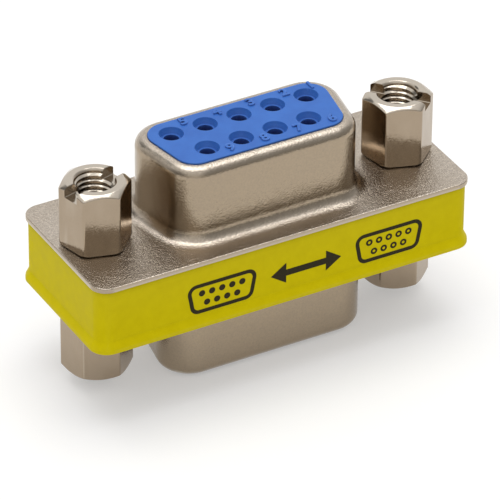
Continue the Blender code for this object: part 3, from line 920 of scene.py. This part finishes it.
class Finish:
    """A material whose node tree is put together a step at a time."""

    def __init__(self, name, colour, roughness, metallic=0.0):
        self.material = bpy.data.materials.new(name)
        self.material.use_nodes = True
        self.tree = self.material.node_tree
        self.shader = self.tree.nodes["Principled BSDF"]
        self.shader.inputs["Roughness"].default_value = roughness
        self.shader.inputs["Metallic"].default_value = metallic
        self.shader.inputs["Base Color"].default_value = (*colour, 1.0)
        self.material.diffuse_color = (*colour, 1.0)
        self.place = self.tree.nodes.new("ShaderNodeTexCoord").outputs["Object"]
        self.normal = None

    def link(self, source, target):
        self.tree.links.new(source, target)

    def noise(self, per_mm, detail=2.0, stretch=(1, 1, 1), rough=0.55):
        """Noise with so many cells to the millimetre, squeezed along some axes."""
        mapping = self.tree.nodes.new("ShaderNodeMapping")
        mapping.inputs["Scale"].default_value = stretch
        self.link(self.place, mapping.inputs["Vector"])
        made = self.tree.nodes.new("ShaderNodeTexNoise")
        made.inputs["Scale"].default_value = per_mm / MM
        made.inputs["Detail"].default_value = detail
        made.inputs["Roughness"].default_value = rough
        self.link(mapping.outputs["Vector"], made.inputs["Vector"])
        return made.outputs["Fac"]

    def remap(self, source, low, high, from_low=0.3, from_high=0.7):
        """The source mapped to low and high, from the usual span of a noise if no other is given."""
        return mapped(self.tree, source, low, high, from_low, from_high)

    def combine(self, operation, first, second):
        return maths(self.tree, operation, first, second)

    def blend(self, share, first, second):
        """Two colours, or a colour socket and a colour, mixed by a share."""
        made = self.tree.nodes.new("ShaderNodeMix")
        made.data_type = "RGBA"
        self.link(share, made.inputs["Factor"])
        sockets = [socket for socket in made.inputs if socket.type == "RGBA"]
        for socket, value in zip(sockets, (first, second)):
            if isinstance(value, tuple):
                socket.default_value = (*value, 1.0)
            else:
                self.link(value, socket)
        return [socket for socket in made.outputs if socket.type == "RGBA"][0]

    def bump(self, height, depth_mm):
        """Bumps of so many millimetres, on top of those that were added before."""
        made = self.tree.nodes.new("ShaderNodeBump")
        made.inputs["Strength"].default_value = 1.0
        made.inputs["Distance"].default_value = depth_mm * MM
        self.link(height, made.inputs["Height"])
        if self.normal is not None:
            self.link(self.normal, made.inputs["Normal"])
        self.normal = made.outputs["Normal"]

    def edges(self, share, low=0.52, high=0.6):
        """A share for a painted highlight, high on outer edges and 0 on level faces, from the shape's
        own curvature.
        """
        geometry = self.tree.nodes.new("ShaderNodeNewGeometry")
        edge = self.remap(geometry.outputs["Pointiness"], 0.0, share, low, high)
        return self.combine("MULTIPLY", edge, self.remap(self.facing(), 1.0, 0.0, *LEVEL_FACE_SPAN))

    def crevice(self, reach_mm, low, high):
        """A share of painted shade, high deep inside holes and low on open faces."""
        made = self.tree.nodes.new("ShaderNodeAmbientOcclusion")
        made.samples = CREVICE_SAMPLES
        made.inputs["Distance"].default_value = reach_mm * MM
        return self.remap(made.outputs["AO"], 1.0, 0.0, low, high)

    def facing(self):
        """How far the surface faces up or down, from 0 on a wall to 1 on a level face."""
        geometry = self.tree.nodes.new("ShaderNodeNewGeometry")
        split = self.tree.nodes.new("ShaderNodeSeparateXYZ")
        self.link(geometry.outputs["Normal"], split.inputs["Vector"])
        return self.combine("ABSOLUTE", split.outputs["Z"], 0)

    def finish(self, colour, roughness):
        """The material, with its colour, roughness and bumps linked to its shader."""
        self.link(colour, self.shader.inputs["Base Color"])
        self.link(roughness, self.shader.inputs["Roughness"])
        self.link(self.normal, self.shader.inputs["Normal"])
        return self.material


def shell_finish():
    """Drawn steel under satin nickel: grain all over, draw marks on the walls, painted shade on upright
    faces and a painted highlight on outer edges.
    """
    made = Finish("satin_nickel", SATIN_NICKEL, 0.3, 1.0)
    level_share = made.facing()
    grain = made.noise(7.0, detail=3.0, rough=0.65)
    marks = made.noise(5.0, stretch=(1, 1, 0.12))
    cloud = made.noise(0.45, detail=3.0)
    # Walls take a darker copy of the nickel tone than level faces: painted shade.
    flat = made.remap(level_share, 0, 1, 0.30, 0.85)
    plate = made.remap(level_share, 0, 1, 0.8, 0.98)
    tone = made.blend(flat, SATIN_UPRIGHT_SHADE, SATIN_LEVEL_LIT)
    tone = made.blend(made.remap(grain, 0.0, 0.45), tone, SATIN_GRAIN)
    tone = made.blend(made.remap(cloud, 0.0, 0.18), tone, SATIN_CLOUD)
    tone = made.blend(made.edges(0.35), tone, SATIN_EDGE_HIGHLIGHT)
    rough = made.combine("ADD", made.remap(grain, -0.04, 0.06), made.remap(plate, 0.12, 0.20, 0, 1))
    made.bump(made.combine("MULTIPLY", grain, made.remap(plate, 0.45, 1.0, 0, 1)), 0.042)
    made.bump(marks, 0.004)
    made.bump(cloud, 0.055)
    return made.finish(tone, rough)


def hardware_finish():
    """Bright nickel on turned brass: a fine grain, small dents on the faces, painted shade on upright
    faces and a painted highlight on outer edges.
    """
    made = Finish("bright_nickel", BRIGHT_NICKEL, 0.2, 1.0)
    grain = made.noise(6.0, detail=3.0)
    cloud = made.noise(0.8, detail=3.0, stretch=(1, 1, 0.5))
    tone = made.blend(made.remap(cloud, 0.0, 0.5), BRIGHT_UPRIGHT_SHADE, BRIGHT_CLOUD)
    # Level faces take the lit nickel tone and upright faces a darker one: painted shade.
    tone = made.blend(made.remap(made.facing(), 0.0, 0.9, 0.35, 0.9), tone, BRIGHT_NICKEL)
    tone = made.blend(made.edges(0.25), tone, BRIGHT_EDGE_HIGHLIGHT)
    rough = made.combine("ADD", made.remap(grain, 0.1, 0.17), made.remap(cloud, -0.02, 0.04))
    made.bump(grain, 0.005)
    made.bump(cloud, 0.018)
    return made.finish(tone, rough)


def blue_finish():
    """Moulded thermoplastic, half gloss, with a fine skin, a painted highlight on its eased edges and
    painted shade deep in its holes.
    """
    made = Finish("blue_thermoplastic", BLUE, 0.42)
    skin = made.noise(9.0, detail=3.0)
    cloud = made.noise(0.7, detail=3.0)
    tone = made.blend(made.remap(cloud, 0.0, 1.0), *BLUE_TONES)
    tone = made.blend(made.edges(0.5, 0.51, 0.6), tone, BLUE_EDGE_HIGHLIGHT)
    # Darker and more purple deep in the holes: painted shade.
    tone = made.blend(made.crevice(1.4, 0.2, 0.7), tone, BLUE_HOLE_SHADE)
    rough = made.combine("ADD", made.remap(skin, 0.36, 0.46), made.remap(cloud, -0.03, 0.04))
    made.bump(skin, 0.0025)
    made.shader.inputs["Specular IOR Level"].default_value = 0.25
    return made.finish(tone, rough)


def vinyl_finish():
    """Adhesive vinyl with a faint mottle, as it follows what lies under it, a painted highlight on its
    edges and painted shadow in its nooks, as under the flange's edge.
    """
    made = Finish("yellow_vinyl_film", YELLOW, 0.4)
    mottle = made.noise(1.2, detail=4.0)
    fibre = made.noise(8.0)
    tone = made.blend(made.remap(mottle, 0.0, 1.0), *YELLOW_TONES)
    tone = made.blend(made.edges(0.12, 0.51, 0.58), tone, YELLOW_EDGE_HIGHLIGHT)
    # Darker where the flange's edge and other nooks hang close over it: painted shadow.
    tone = made.blend(made.crevice(0.5, 0.45, 0.95), tone, YELLOW_OVERHANG_SHADE)
    rough = made.combine("ADD", made.remap(mottle, 0.36, 0.46), made.remap(fibre, -0.03, 0.03))
    made.bump(mottle, 0.004)
    made.bump(fibre, 0.002)
    made.shader.inputs["Specular IOR Level"].default_value = 0.03
    return made.finish(tone, rough)


def ink_finish():
    """Flat dark print with a fine grain."""
    made = Finish("dark_ink", INK, 0.5)
    grain = made.noise(10.0, detail=3.0)
    tone = made.blend(made.remap(grain, 0.0, 1.0), *INK_TONES)
    made.bump(grain, 0.002)
    made.shader.inputs["Specular IOR Level"].default_value = 0.1
    return made.finish(tone, made.remap(grain, 0.42, 0.6))


def frame_finish():
    """Black moulded plastic with a matt skin."""
    made = Finish("black_thermoplastic", BLACK, 0.55)
    skin = made.noise(7.0, detail=3.0)
    tone = made.blend(made.remap(skin, 0.0, 1.0), *BLACK_TONES)
    made.bump(skin, 0.003)
    return made.finish(tone, made.remap(skin, 0.48, 0.64))


def contact_finish():
    """Gold flash with fine turning lines across the contact."""
    made = Finish("gold_flash", GOLD, 0.24, 1.0)
    lines = made.noise(4.0, stretch=(1, 1, 6))
    cloud = made.noise(1.5, detail=3.0)
    tone = made.blend(made.remap(cloud, 0.0, 1.0), *GOLD_TONES)
    made.bump(lines, 0.002)
    return made.finish(tone, made.remap(cloud, 0.2, 0.32))


# Camera, floor and light


def add_camera():
    """The photograph's view."""
    data = bpy.data.cameras.new("photo_camera")
    data.sensor_width = CAMERA_SENSOR
    data.lens = CAMERA_LENS
    data.clip_start = CAMERA_CLIP_START
    camera = bpy.data.objects.new("photo_camera", data)
    camera.location = CAMERA_PLACE
    camera.rotation_euler = [math.radians(turn) for turn in CAMERA_TURNS]
    bpy.context.scene.collection.objects.link(camera)
    bpy.context.scene.camera = camera


def floor_finish():
    """A pale matt floor, whose glow shows to camera, glossy and transmission rays alone."""
    made = bpy.data.materials.new("pale_floor")
    made.use_nodes = True
    tree = made.node_tree
    shader = tree.nodes["Principled BSDF"]
    shader.inputs["Base Color"].default_value = FLOOR_TONE
    shader.inputs["Roughness"].default_value = FLOOR_ROUGHNESS
    shader.inputs["Specular IOR Level"].default_value = 0.0
    path = tree.nodes.new("ShaderNodeLightPath").outputs
    seen = maths(tree, "MAXIMUM", path["Is Camera Ray"], path["Is Glossy Ray"])
    seen = maths(tree, "MAXIMUM", seen, path["Is Transmission Ray"])
    glow = tree.nodes.new("ShaderNodeEmission")
    glow.inputs["Color"].default_value = (1, 1, 1, 1)
    tree.links.new(maths(tree, "MULTIPLY", seen, FLOOR_GLOW), glow.inputs["Strength"])
    both = tree.nodes.new("ShaderNodeAddShader")
    for source, socket in zip((shader, glow), both.inputs):
        tree.links.new(source.outputs[0], socket)
    tree.links.new(both.outputs[0], tree.nodes["Material Output"].inputs["Surface"])
    return made


def add_floor():
    shape = bmesh.new()
    bmesh.ops.create_grid(shape, x_segments=1, y_segments=1, size=FLOOR_HALF_SIZE)
    floor = bpy.data.objects.new("floor", as_mesh("floor", shape))
    floor.location.z = -FLOOR_DROP
    floor.data.materials.append(floor_finish())
    bpy.context.scene.collection.objects.link(floor)


def add_world():
    """A soft studio of one strength, apart from its dark side, dark screen and dim far left.

    A span holds the two cosines, or the two Z or X values of a direction, between which the
    strength changes.
    """
    world = bpy.data.worlds.new("studio")
    bpy.context.scene.world = world
    world.use_nodes = True
    tree = world.node_tree
    direction = tree.nodes.new("ShaderNodeTexCoord").outputs["Generated"]
    split = tree.nodes.new("ShaderNodeSeparateXYZ")
    tree.links.new(direction, split.inputs["Vector"])
    course = "SMOOTHSTEP"
    side = along(tree, direction, DARK_SIDE)
    dark = mapped(tree, split.outputs["Z"], DARK_SIDE_STRENGTH, 1.0, *DARK_SIDE_TOP_SPAN, course)
    strength = mapped(tree, side, WORLD_STRENGTH, dark, *DARK_SIDE_SPAN, course)
    screen = along(tree, direction, Vector(DARK_SCREEN).normalized())
    screen = mapped(tree, screen, 1.0, DARK_SCREEN_SHARE, *DARK_SCREEN_SPAN, course)
    left = mapped(tree, split.outputs["X"], FAR_LEFT_SHARE, 1.0, *FAR_LEFT_SPAN, course)
    for share in (screen, left):
        strength = maths(tree, "MULTIPLY", strength, share)
    background = tree.nodes["Background"]
    background.inputs["Color"].default_value = WORLD_TONE
    tree.links.new(strength, background.inputs["Strength"])


def add_softbox():
    """One large lamp overhead, aimed at the foot of the object."""
    length, width = SOFTBOX_SIZE
    data = bpy.data.lights.new("overhead", "AREA")
    data.shape = "RECTANGLE"
    data.size, data.size_y = SOFTBOX_SIZE
    data.energy = SOFTBOX_RADIANCE * math.pi * length * width
    light = bpy.data.objects.new("overhead", data)
    light.location = SOFTBOX_PLACE
    light.rotation_euler = (-Vector(SOFTBOX_PLACE)).to_track_quat("-Z", "Y").to_euler()
    bpy.context.scene.collection.objects.link(light)


# Putting it together


def dress_node(thing, material):
    """A better material for a CAD node whose shape stays."""
    thing.data.materials.clear()
    thing.data.materials.append(material)


bpy.context.scene.view_settings.view_transform = "Standard"
add_camera()
add_floor()
add_world()
add_softbox()
materials = {
    "shell": shell_finish(),
    "hardware": hardware_finish(),
    "blue": blue_finish(),
    "vinyl": vinyl_finish(),
    "ink": ink_finish(),
    "frame": frame_finish(),
    "gold": contact_finish(),
}
build_shells()
build_insulators()
build_screws()
build_band()
for node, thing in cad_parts.items():
    if node.startswith("contact_"):
        dress_node(thing, materials["gold"])
dress_node(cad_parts["spacer_frame"], materials["frame"])
